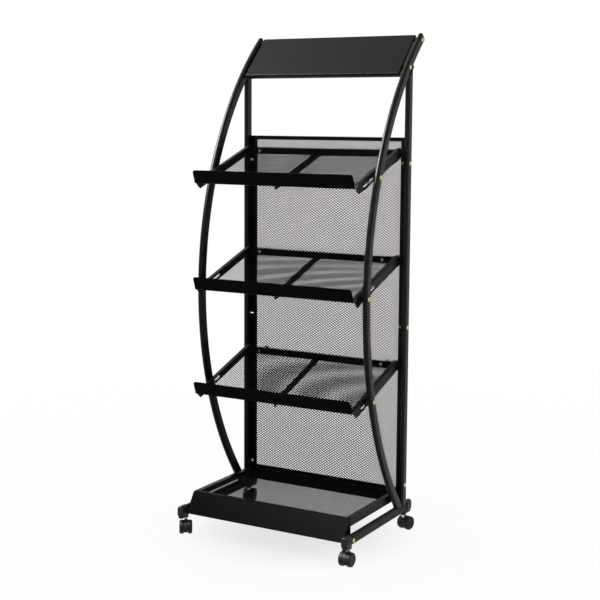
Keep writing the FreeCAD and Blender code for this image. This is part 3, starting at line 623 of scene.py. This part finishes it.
def addBowCaps(settings):
    # flat-oval rings along the bow's own line: a short collar, a fine groove, then a domed crown
    top, collar = rackLayout["bowTop"], settings["collar"]
    lean = math.asin((top - rackLayout["arcZ"]) / rackLayout["arcRadius"])
    ahead = (0, math.sin(lean), math.cos(lean))
    outward = (0, -math.cos(lean), math.sin(lean))
    dome = reversed(roundedEnd(settings["round"], steps=9))
    crown = [(settings["tall"] - height, inset) for height, inset in dome]
    steps = [(0, settings["edge"]), (settings["edge"], 0), (collar, 0),
             (collar + settings["grooveTall"], settings["groove"])] + crown
    rings = ovalRings(rackLayout["tubeWide"], rackLayout["tubeDeep"], steps)
    for side, sign in sides.items():
        place = (rackLayout["frameAcross"] * sign, float(bowY(top)), top)
        cap = carried(skin(rings, startCap=True, endCap=True), place, (1, 0, 0), outward, ahead)
        addPiece(side + "_bow_end_cap", cap, "grey_plastic", "rack", (side + "_bow_cap",), smoothAngle=40)
    print("bow caps done")


addFasteners()
addBowCaps(bowCap)


# header: a shallow pan of folded sheet with a soft bend all round, and a folded ear at each side

header = {
    "half": rackLayout["headerHalf"], "tall": 160, "lean": 45.97, "footY": 104.5, "footZ": 1351.6,
    "rim": 1.5, "bend": 2.6, "fold": 15, "sheet": 1.4,
    "corner": 2.2, "cornerLoss": 0.6, "cornerLeast": 0.5,
    "earStart": 6, "earEnd": 154, "earLap": 2, "earTaper": 4, "earFold": 25, "earEdge": 0.4,
}


def roundedRectangle(halfWide, low, high, corner, perCorner=6):
    # four quarter circles joined by straight sides
    turn = np.linspace(0, math.pi / 2, perCorner)
    quarter = np.stack([np.cos(turn), np.sin(turn)], axis=1)
    rows = []
    for quarterTurn, (x, y) in enumerate(((1, 1), (-1, 1), (-1, -1), (1, -1))):
        c, s = round(math.cos(quarterTurn * math.pi / 2)), round(math.sin(quarterTurn * math.pi / 2))
        turned = quarter @ np.array([(c, s), (-s, c)]) * corner
        centre = (x * (halfWide - corner), high - corner if y > 0 else low + corner)
        rows.append(turned + np.array([centre]))
    return np.concatenate(rows)


def addHeader(settings):
    # rings of a rounded rectangle: flat face, then a quarter-circle bend, then the fold behind it
    bend, fold, sheet = settings["bend"], settings["fold"], settings["sheet"]
    turn = np.linspace(0, math.pi / 2, 7)
    steps = [(bend + settings["rim"], 0.0)]
    steps += [(bend * (1 - math.sin(t)), -bend * (1 - math.cos(t))) for t in turn]
    steps.append((0, -fold))
    rings = []
    for inset, depth in steps:
        corner = max(settings["corner"] - inset * settings["cornerLoss"], settings["cornerLeast"])
        outline = roundedRectangle(settings["half"] - inset, inset, settings["tall"] - inset, corner)
        rings.append(np.c_[outline, np.full(len(outline), depth)])
    pan = skin(np.array(rings), startCap=True)
    lean = math.radians(settings["lean"])
    place = (0, settings["footY"], settings["footZ"])
    up, out = (0, math.cos(lean), math.sin(lean)), (0, -math.sin(lean), math.cos(lean))
    addPiece("header_sheet", carried(pan, place, (1, 0, 0), up, out), "black_powder_coat", "rack",
             ("header_panel",), wall=sheet)
    low, high, taper = settings["earStart"], settings["earEnd"], settings["earTaper"]
    near, far = settings["earLap"] - fold, -settings["earFold"]
    corners = [(low, near), (high, near), (high - taper, far), (low + taper, far)]
    for side, sign in sides.items():
        ear = plateOutline(corners, (settings["half"] - sheet / 2) * sign, sheet)
        addPiece(side + "_header_ear", carried(ear, place, (1, 0, 0), up, out), "black_powder_coat", "rack",
                 edge=settings["earEdge"])
    print("header done")


addHeader(header)


# shelf lips: an upright sheet with rounded top corners and a leg folded under the mesh

lip = {
    "above": 36, "below": 4, "corner": 9, "sheet": 1.5, "edge": 0.35,
    "leg": 12, "legShort": 12, "legLow": -4.4, "legGap": 0.2, "bend": 2.2,
}


def addLips(settings):
    # the top edge drops along a quarter circle at both ends; the leg is a quarter bend and a flat
    half, curve = shelfPlace["half"], settings["corner"]
    ease = curve * (1 - np.cos(np.linspace(0, math.pi / 2, 10)))
    across = np.concatenate([-half + ease, [-half / 3, half / 3], (half - ease)[::-1]])
    inward = np.clip(curve - (half - np.abs(across)), 0, curve)
    top = settings["above"] - curve + np.sqrt(curve ** 2 - inward ** 2)
    share = np.linspace(0, 1, 8)[:, None]
    rise = -settings["below"] + share * (top + settings["below"])
    face = np.stack([np.broadcast_to(across, rise.shape), np.zeros(rise.shape), rise], axis=-1)
    bend, low, gap = settings["bend"], settings["legLow"], settings["legGap"]
    turn = np.linspace(0, math.pi / 2, 6)
    legPath = [(settings["leg"], low)]
    legPath += [(bend * (1 - math.sin(t)) + gap, low + bend * (1 - math.cos(t))) for t in turn]
    legPath = np.asarray(legPath)
    legAcross = np.linspace(-half + settings["legShort"], half - settings["legShort"], 5)
    grid = (len(legPath), len(legAcross))
    leg = np.stack([np.broadcast_to(values, grid) for values in (legAcross, legPath[:, :1], legPath[:, 1:])],
                   axis=-1)
    faceSkin = skin(face, closeColumns=False)
    legSkin = skin(leg, closeColumns=False)
    for level, name in enumerate(shelfLevels):
        # the lip's face takes the coat with almost no shine, which is painted shade; its leg keeps the plain
        # coat
        addPiece(name + "_shelf_front_lip", onShelf(level, faceSkin), "shaded_coat", "rack",
                 (name + "_shelf_lip",),
                 outward=False, wall=settings["sheet"], edge=settings["edge"])
        addPiece(name + "_shelf_lip_leg", onShelf(level, legSkin), "black_powder_coat", "rack",
                 outward=False, wall=settings["sheet"])
    print("shelf lips done")


addLips(lip)


# the front ends of the shelf sides: each drops from the mesh's edge close behind the lip

sideTip = {
    "middle": 259.25, "sheet": 1.6, "start": 3, "shoulder": (12, -21), "toe": 15.5, "end": 31,
    "top": -3.5, "bottom": -28, "round": 4, "roundStart": 0.4,  # radians into the toe's quarter turn
}


def addSideTips(settings):
    # outline from the top, slanting back to the rounded toe; it runs on behind the side's own sheet
    turn = np.linspace(settings["roundStart"], math.pi / 2, 4)
    toe = [(settings["toe"] + settings["round"] * (1 - math.cos(t)),
            settings["bottom"] + settings["round"] * (1 - math.sin(t))) for t in turn]
    outline = [(settings["end"], settings["top"]), (settings["start"], settings["top"]),
               settings["shoulder"], *toe, (settings["end"], settings["bottom"])]
    for level, name in enumerate(shelfLevels):
        for side, sign in sides.items():
            tip = plateOutline(outline, settings["middle"] * sign, settings["sheet"])
            addPiece(f"{name}_shelf_{side}_side_tip", onShelf(level, tip), "black_powder_coat", "rack")
    print("shelf side tips done")


addSideTips(sideTip)


# sleeves on the rail ends, each with the boss of its caster's stem

railSleeve = {
    "wide": 19.5, "deep": 34, "long": 30, "wall": 2.2, "mouth": 0.7, "round": 4.5, "crownInset": 3,
    "closedEnd": {"front": -231.5, "back": 192.5}, "top": 61.5, "stem": 5.1,
    "bossRadius": 8.25, "bossLow": 46.5,
    "bossRound": ((0, 1.2), (0.4, 0.4), (1.3, 0)),  # up from the boss's foot, pulled in by
    "shoeLow": 49, "shoeRound": 2.0, "shoeInset": 8,
}


def addSleeves(settings):
    # the sleeve is flat-oval rings along the rail, domed at the closed end;
    # the boss and the shoe beside it stand upright below the rail and are rounded at the foot
    long, mouth, low, radius = (settings[key] for key in ("long", "mouth", "bossLow", "bossRadius"))
    steps = [(0, settings["round"] + settings["crownInset"])] + roundedEnd(settings["round"], steps=7)
    steps += [(long - mouth, 0), (long, mouth), (long, settings["wall"])]
    rings = ovalRings(settings["wide"], settings["deep"], steps)
    bossSteps = [(low, settings["stem"])]
    bossSteps += [(low + height, radius - inset) for height, inset in settings["bossRound"]]
    boss = lathe(bossSteps + [(settings["top"], radius)], count=36)
    shoeFoot = roundedEnd(settings["shoeRound"], steps=5)
    shoeSteps = [(settings["shoeLow"] + height, inset) for height, inset in shoeFoot]
    shoeSteps.append((settings["top"], 0))
    for end, way in (("front", -1), ("back", 1)):
        outer, stem = settings["closedEnd"][end], rackLayout["stemY"][end]
        shoeEnd = outer - way * settings["shoeInset"]
        shoe = ovalRings(radius * 2, abs(shoeEnd - stem) + radius + radius, shoeSteps, count=32)
        shoeMiddle = (stem - way * radius + shoeEnd) / 2 + way * radius / 2
        for side, sign in sides.items():
            x = rackLayout["frameAcross"] * sign
            body = carried(skin(rings, startCap=True), (x, outer, rackLayout["railHigh"]),
                           (1, 0, 0), (0, 0, 1), (0, -way, 0))
            bossSkin = carried(skin(boss), (x, stem, 0), (0, 0, 1), (1, 0, 0), (0, 1, 0))
            shoeSkin = carried(skin(shoe, startCap=True), (x, shoeMiddle, 0), *levelAxes)
            addPiece(f"{side}_{end}_rail_sleeve", together([body, bossSkin, shoeSkin]), "grey_plastic",
                     "rack", (f"{side}_{end}_rail_end",), smoothAngle=38)
    print("rail sleeves done")


addSleeves(railSleeve)


# twin-wheel casters

caster = {
    "trail": 12, "radius": 20, "half": 19,
    "heading": {"front_right": 0, "front_left": 33.8, "back_right": 165.05, "back_left": -165.05},
}
wheel = {
    "gap": 6.6, "bore": 2.6, "innerFace": 12, "innerRound": 1.6, "shoulderWide": 4.5, "shoulderDeep": 5.5,
    "rimSteps": ((0.2, 6.4), (1.2, 7.4)),  # in from the outer face, down from the tread
    "faceSteps": ((1.5, 6.5), (1.5, 5.2), (1.0, 4.9)),  # in from the outer face, radius
    "hubSunk": 1.0, "hubTall": 0.8, "hubRadius": 4.6, "hubPole": 0.05,
}
hood = {"half": 6.2, "radius": 20.1, "round": 1.6, "low": 7, "top": 39, "neckLow": 12, "neckRound": 2.4}
guard = {
    "gap": 0.3, "wall": 0.6, "edge": 0.25, "lap": 0.6, "shoulderStart": 8, "shoulderWide": 4.8,
    "shoulderDeep": 5.2, "from": 22, "to": 205,  # degrees of the turn round the axle
}


def wheelProfile(settings):
    # tread, rounded shoulder, rim, sunk face and a small domed hub, to be carried round the axle
    half, radius, gap, bend = caster["half"], caster["radius"], settings["gap"], settings["innerRound"]
    wide, deep = settings["shoulderWide"], settings["shoulderDeep"]
    shoulder = quarterOval(half - wide, radius - deep, wide, deep, np.linspace(0, math.pi / 2, 8))
    inner = quarterOval(gap + bend, radius - bend, -bend, bend, np.linspace(math.pi / 2, 0, 5))
    hub = quarterOval(half - settings["hubSunk"], settings["hubPole"], settings["hubTall"],
                      settings["hubRadius"], np.linspace(0, math.pi / 2, 6))
    return [(gap, settings["bore"]), (gap, settings["innerFace"]), *inner, *shoulder,
            *[(half - sunk, radius - drop) for sunk, drop in settings["rimSteps"]],
            *[(half - sunk, reach) for sunk, reach in settings["faceSteps"]], *hub]


def hoodSurface(settings):
    # a disc between the wheels with rounded rims, flattened below, and a rounded neck round the stem
    half, radius, bend, top = (settings[key] for key in ("half", "radius", "round", "top"))
    rim = quarterOval(half - bend, radius - bend, bend, bend, np.linspace(0, math.pi / 2, 5))
    profile = [(half, poleRadius)] + rim[::-1] + [(-a, r) for a, r in rim] + [(-half, poleRadius)]
    disc = lathe(profile, count=48)
    disc[..., 1] -= caster["trail"]
    disc[..., 2] = np.maximum(disc[..., 2] + caster["radius"], settings["low"])
    crown = reversed(roundedEnd(settings["neckRound"], steps=6))
    steps = [(settings["neckLow"], 0), (top - settings["neckRound"], 0)]
    steps += [(top - height, inset) for height, inset in crown]
    neck = ovalRings(half * 2, half * 2 + caster["trail"], steps, count=32)
    neck[..., 1] -= caster["trail"] / 2
    return together([skin(disc, startCap=True, endCap=True), skin(neck, startCap=True, endCap=True)])


def guardSurface(settings, way):
    # mudguard over one wheel: a line close over the wheel's tread and shoulder, carried round part of
    # a turn only; its wall is left to a modifier
    wide, deep = settings["shoulderWide"], settings["shoulderDeep"]
    half, radius = caster["half"], caster["radius"] + (settings["gap"] + settings["wall"])
    shoulder = quarterOval(half - wide, radius - deep, wide, deep, np.linspace(0, math.pi / 2, 8))
    profile = np.array([(hood["half"] - settings["lap"], radius),
                        (half - settings["shoulderStart"], radius), *shoulder])
    angle = np.radians(np.linspace(settings["from"], settings["to"], 26))
    across = np.broadcast_to(profile[:, :1] * way, (len(profile), len(angle)))
    depth = -caster["trail"] - profile[:, 1:] * np.cos(angle)
    height = caster["radius"] + profile[:, 1:] * np.sin(angle)
    return skin(np.stack([across, depth, height], axis=-1), closeColumns=False)


def turnedAbout(surface, heading, place):
    # a piece made at heading 0 round the stem, swung to its heading and set down
    points, faces = surface
    turn = math.radians(heading)
    swing = np.array([(math.cos(turn), math.sin(turn), 0), (-math.sin(turn), math.cos(turn), 0), (0, 0, 1)])
    return points @ swing + np.asarray(place, float), faces


def addCasters(settings):
    profile = wheelProfile(wheel)
    for corner, heading in settings["heading"].items():
        end, side = corner.split("_")
        stem = (rackLayout["frameAcross"] * sides[side], rackLayout["stemY"][end], 0)
        body = corner + "_caster"
        addPiece(body + "_hood", turnedAbout(hoodSurface(hood), heading, stem), "black_nylon", body,
                 (body + "_housing",), smoothAngle=38)
        guards = together([guardSurface(guard, -1), guardSurface(guard, 1)])
        points, faces = turnedAbout(guards, heading, stem)
        perGuard = len(faces) // 2  # the left guard is a mirror image, so its faces are turned round
        faces = [face[::-1] for face in faces[:perGuard]] + faces[perGuard:]
        addPiece(body + "_guards", (points, faces), "black_nylon", body, outward=False,
                 wall=guard["wall"], edge=guard["edge"])
        for hand, way in (("left", -1), ("right", 1)):
            ring = lathe([(a * way, r) for a, r in profile], count=48)
            ring += np.array([0, -settings["trail"], settings["radius"]])
            tyre = turnedAbout(skin(ring, endCap=True), heading, stem)
            addPiece(f"{body}_{hand}_tyre", tyre, "black_nylon", f"{body}_{hand}_wheel",
                     (f"{body}_{hand}_wheel",), smoothAngle=38)
    print("casters done")


addCasters(caster)


# weld beads where the tubes meet

weld = {
    "radius": 1.5, "topRadius": 2.6, "ripple": 0.28, "pitch": 2.2, "outset": 1.0,
    "topDrop": 1.2, "topShare": 0.92,  # the top bead's line: down from the bow, share of the tube's width
    "toeBack": 14,  # the bow's foot bead stays this far in front of the upright's middle
}


def bead(path, radius, settings):
    # a small tube along a closed line, whose radius swells once every pitch like laid weld metal
    path = np.asarray(path, float)
    step = np.roll(path, -1, axis=0) - np.roll(path, 1, axis=0)
    ahead = step / np.linalg.norm(step, axis=1, keepdims=True)
    length = np.cumsum(np.linalg.norm(np.roll(path, -1, axis=0) - path, axis=1))
    waves = max(1, round(length[-1] / settings["pitch"]))
    size = radius + settings["ripple"] * np.cos(2 * math.pi * waves * length / length[-1])
    side = np.cross(ahead, (0, 0, 1.0))
    side /= np.linalg.norm(side, axis=1, keepdims=True)
    up = np.cross(side, ahead)
    fan = roundFan(count=8)
    around = fan[None, :, :1] * side[:, None] + fan[None, :, 1:] * up[:, None]
    return skin(path[:, None] + size[:, None, None] * around, closeRows=True)


def addWelds(settings):
    # closed lines round the tube: on the rail's round top, under the bow's arc, and round the bow's foot
    arcRadius, uprightY = rackLayout["arcRadius"], rackLayout["uprightY"]
    outset = settings["outset"]
    oval = flatOval(rackLayout["tubeWide"] + outset, rackLayout["tubeDeep"] + outset, count=96)
    half = rackLayout["tubeWide"] / 2
    railTop = rackLayout["saddle"] + np.sqrt(np.maximum(half ** 2 - oval[:, 0] ** 2, 0))
    depth = oval[:, 1] + uprightY
    foot = np.c_[oval[:, 0], depth, railTop]
    under = arcRadius - rackLayout["tubeDeep"] / 2 + settings["topDrop"]
    headZ = rackLayout["arcZ"] + np.sqrt(under ** 2 - (rackLayout["arcY"] - depth) ** 2)
    head = np.c_[oval[:, 0] * settings["topShare"], depth, headZ]
    toeY = np.minimum(bowY(railTop, arcRadius + oval[:, 1]), uprightY - settings["toeBack"])
    toe = np.c_[oval[:, 0], toeY, railTop]
    lines = ((foot, settings["radius"]), (toe, settings["radius"]), (head, settings["topRadius"]))
    for side, sign in sides.items():
        shift = np.array([rackLayout["frameAcross"] * sign, 0, 0])
        beads = [bead(line + shift, radius, settings) for line, radius in lines]
        addPiece(side + "_frame_welds", together(beads), "black_powder_coat", "rack", smoothAngle=70)
    print("weld beads done")


addWelds(weld)


# the CAD pieces that stay get the finish of their slot, or the one chosen here by the end of their name

nodeFinish = {row["node"]: row["material_slot"] for row in frame["record"]["subparts"]}
# the extra shine on the uprights and bows is painted sheen; the darker finishes on the apron, the spacer
# sleeves and the standoffs are painted shade
nodeChoice = {
    "upright": "sheen_tube_coat", "bow_tube": "sheen_tube_coat", "tray_apron": "shaded_coat",
    "spacer_sleeves": "gap_shade_plate", "shelf_standoffs": "shaded_zinc",
}


def dressNodes():
    for name, node in cadNodes.items():
        if node.hide_render:
            continue
        choices = [finish for ending, finish in nodeChoice.items() if name.endswith(ending)]
        finish = choices[0] if choices else nodeFinish[name]
        node.data.materials.clear()
        node.data.materials.append(finishes[finish])


dressNodes()
print("carried pieces dressed")


# stage and light, in metres and watts

studio = {
    "floorHalf": 14, "floorTone": 0.82, "ambient": 0.5,
    "glow": [(0.0, 0.68), (0.06, 0.78), (0.11, 0.95), (0.3, 0.98), (1.0, 1.0)], "glowReach": 3.4,
}
lamps = {
    "overhead": {"place": (-1.4, 0.2, 3.9), "aim": (0, 0, 1.2), "size": (3.0, 2.4), "watts": 28},
    "rightFill": {"place": (3.0, -1.6, 2.4), "aim": (0, 0, 0.7), "size": (1.8, 1.8), "watts": 8},
    "topSheen": {
        "place": (-1.3, -0.5, 3.5), "aim": (0, 0.1, 1.4), "size": (1.4, 0.35), "watts": 5,
        "glossOnly": True,
    },
    "leftSheen": {
        "place": (-1.3, -1.15, 2.4), "aim": (-0.15, -0.1, 1.15), "size": (2.4, 0.9), "watts": 360,
        "glossOnly": True,
    },
}
white = (1, 1, 1, 1)


def addLamp(name, settings):
    data = bpy.data.lights.new(name, "AREA")
    data.shape = "RECTANGLE"
    data.size, data.size_y = settings["size"]
    data.energy = settings["watts"]
    lamp = bpy.data.objects.new(name, data)
    place, aim = Vector(settings["place"]), Vector(settings["aim"])
    turn = (aim - place).to_track_quat("-Z", "Y").to_matrix().to_4x4()
    lamp.matrix_world = Matrix.Translation(place) @ turn
    lamp.visible_camera = False
    lamp.visible_diffuse = not settings.get("glossOnly", False)  # a gloss-only lamp adds sheen alone
    bpy.context.scene.collection.objects.link(lamp)


def seenDirectly(chain):
    # 1 for camera, glossy and transmission rays, 0 for the rays that carry light to the object
    path = chain.add("ShaderNodeLightPath")
    camera, glossy = path.outputs["Is Camera Ray"], path.outputs["Is Glossy Ray"]
    through = path.outputs["Is Transmission Ray"]
    return chain.maths("MAXIMUM", chain.maths("MAXIMUM", camera, glossy), through)


def addFloor(settings):
    half, tone = settings["floorHalf"], settings["floorTone"]
    corners = [(-half, -half, 0), (half, -half, 0), (half, half, 0), (-half, half, 0)]
    data = bpy.data.meshes.new("studioFloor")
    data.from_pydata(corners, [], [(0, 1, 2, 3)])
    floor = bpy.data.objects.new("studioFloor", data)
    bpy.context.scene.collection.objects.link(floor)
    material, chain = newMaterial("paleFloor")
    matt = chain.add("ShaderNodeBsdfDiffuse", inputs={"Color": (tone, tone, tone, 1)}).outputs[0]
    glow = chain.add("ShaderNodeEmission", inputs={"Color": white, "Strength": 1.0}).outputs[0]
    # the glow is weaker round the rack's feet, so its shadow shows there, and full further out
    where = {0: chain.coordinates()}
    reach = chain.add("ShaderNodeVectorMath", {"operation": "LENGTH"}, where).outputs["Value"]
    outward = chain.stretch(reach, 0, 1, 0, settings["glowReach"])
    fade = chain.ramp(outward, [(place, (level, level, level)) for place, level in settings["glow"]])
    share = chain.maths("MULTIPLY", seenDirectly(chain), fade)
    mix = chain.add("ShaderNodeMixShader", inputs={0: share, 1: matt, 2: glow}).outputs[0]
    chain.add("ShaderNodeOutputMaterial", inputs={"Surface": mix})
    data.materials.append(material)


def addWorld(settings):
    # plain white where it is seen, and a weaker ambient for the light it gives
    world = bpy.data.worlds.new("studioWorld")
    bpy.context.scene.world = world
    world.use_nodes = True
    chain = NodeChain(world.node_tree)
    strengths = (settings["ambient"], 1.0)
    ambient, plain = (chain.add("ShaderNodeBackground", inputs={"Color": white, "Strength": strength})
                      for strength in strengths)
    mix = chain.add("ShaderNodeMixShader", inputs={
        0: seenDirectly(chain), 1: ambient.outputs[0], 2: plain.outputs[0]})
    chain.add("ShaderNodeOutputWorld", inputs={"Surface": mix.outputs[0]})


addFloor(studio)
addWorld(studio)
for lampName, lampSettings in lamps.items():
    addLamp(lampName, lampSettings)
print("stage lit")
